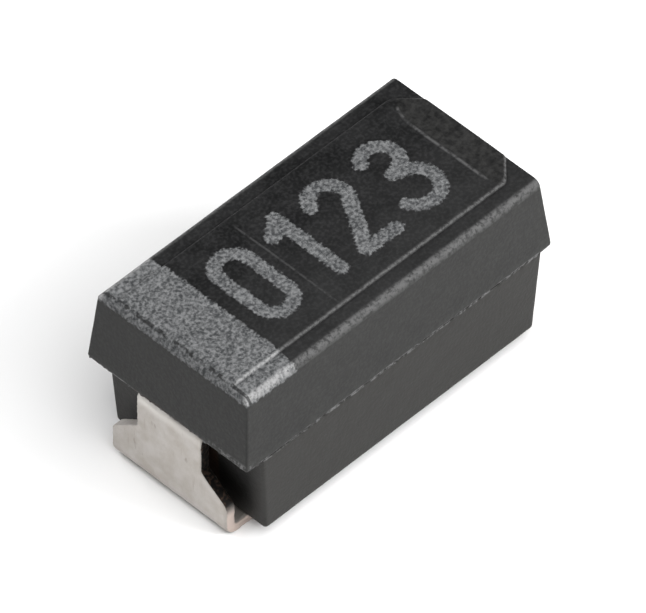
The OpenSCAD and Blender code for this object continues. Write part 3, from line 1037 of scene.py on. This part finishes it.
# %% Inner finishes
def inner_finish(name, dark, light, size, rough, relief, stretch=(1, 1, 1), sparkle=0.0, **constants):
    """A finish from two colours, a grain size in millimetres, a range of roughness and a relief height."""
    finish, tree, shader = new_finish(name, **constants)
    place = add(tree, "Mapping", {"Vector": use(tree, millimetres)["Place"], "Scale": stretch}).outputs[0]
    texture = use(tree, grain, Place=place, Size=size)
    share = calc(tree, "MULTIPLY_ADD", texture["Fine"], 0.5, product(tree, texture["Coarse"], 0.5))
    colour = blend(tree, mask(tree, share, 0.35, 0.65), dark, light)
    pores = add(tree, "TexVoronoi", {"Vector": place, "Scale": 0.6 / size}).outputs["Distance"]
    colour = blend(tree, mask(tree, pores, 0.05, 0.25, sparkle, 0.0), colour, (0.9, 0.9, 0.88, 1))
    put(tree, shader.inputs["Base Color"], colour)
    put(tree, shader.inputs["Roughness"], mask(tree, texture["Coarse"], 0.3, 0.7, *rough))
    height = calc(tree, "ADD", texture["Fine"], product(tree, pores, 0.6))
    bump(tree, shader, height, relief)
    return finish


inner_finishes = {
    "tantalum_pellet": inner_finish("sintered_tantalum", (0.06, 0.06, 0.07, 1), (0.2, 0.2, 0.22, 1), 0.012,
                                    (0.55, 0.8), 0.008, Metallic=0.7),
    "manganese_dioxide": inner_finish("manganese_dioxide", (0.008, 0.007, 0.007, 1),
                                      (0.04, 0.036, 0.032, 1), 0.02, (0.6, 0.9), 0.01),
    "graphite_coat": inner_finish("graphite", (0.03, 0.03, 0.033, 1), (0.09, 0.09, 0.095, 1), 0.03,
                                  (0.35, 0.55), 0.003, Metallic=0.3),
    "silver_coat": inner_finish("silver_paint", (0.42, 0.42, 0.4, 1), (0.72, 0.72, 0.7, 1), 0.015,
                                (0.35, 0.6), 0.004, sparkle=0.6, Metallic=0.8),
    "silver_adhesive": inner_finish("silver_adhesive", (0.3, 0.29, 0.27, 1), (0.6, 0.59, 0.55, 1), 0.02,
                                    (0.5, 0.75), 0.006, sparkle=0.3, Metallic=0.6),
    "anode_wire": inner_finish("drawn_tantalum", (0.2, 0.2, 0.23, 1), (0.4, 0.4, 0.44, 1), 0.01,
                               (0.3, 0.5), 0.002, stretch=(0.08, 1, 1), Metallic=1.0),
    "insulating_washer": inner_finish("fluoropolymer", (0.74, 0.74, 0.71, 1), (0.88, 0.88, 0.86, 1), 0.04,
                                      (0.35, 0.5), 0.002, Subsurface_Weight=0.2, Subsurface_Scale=0.00005),
}
for node_name, finish in inner_finishes.items():
    solid = frame["nodes"][node_name]
    for slot in solid.material_slots:
        slot.material = finish
print("inner finishes:", len(inner_finishes))

# %% [markdown]
# ## Floor and light
#
# The part stands on a pale, even floor that runs out of the picture on all sides. One broad soft light
# hangs above it and a little in front, a second stands low on the side of the long face, a third fills in
# from behind, and the sky adds an even fill. So the long side is brighter than the end and the top.

# %% Floor
floor_half = 150
corners = np.array([[-1, -1], [1, -1], [1, 1], [-1, 1]]) * floor_half
floor = make_piece("floor", np.column_stack([corners, np.zeros(4)]), np.array([[0, 1, 2, 3]]))
paper, tree, shader = new_finish("pale_paper", Specular_IOR_Level=0.1, Roughness=0.9)
tint = speckle(tree, use(tree, millimetres)["Place"], 6.0)
put(tree, shader.inputs["Base Color"], blend(tree, mask(tree, tint, 0.3, 0.7), grey(0.88), grey(0.9)))
floor.data.materials.append(paper)


# %% Lights
def soft_light(name, place, size, power):
    """A square area light that looks at the middle of the part."""
    light = bpy.data.lights.new(name, "AREA")
    light.size = size * MM
    light.energy = power
    lamp = bpy.data.objects.new(name, light)
    lamp.location = Vector(place) * MM
    to_part = Vector((0, 0, parting_z * MM)) - lamp.location
    lamp.rotation_euler = to_part.to_track_quat("-Z", "Y").to_euler()
    bpy.context.collection.objects.link(lamp)


soft_light("overhead", (-8, -50, 98), 90, 0.1)
soft_light("long_side", (48, -72, 47), 45, 0.085)
soft_light("back_fill", (-16, 76, 66), 70, 0.06)

world = bpy.data.worlds.new("studio")
world.use_nodes = True
world.node_tree.nodes["Background"].inputs["Color"].default_value = (1, 1, 1, 1)
world.node_tree.nodes["Background"].inputs["Strength"].default_value = 0.25
bpy.context.scene.world = world
bpy.context.scene.view_settings.view_transform = "Standard"
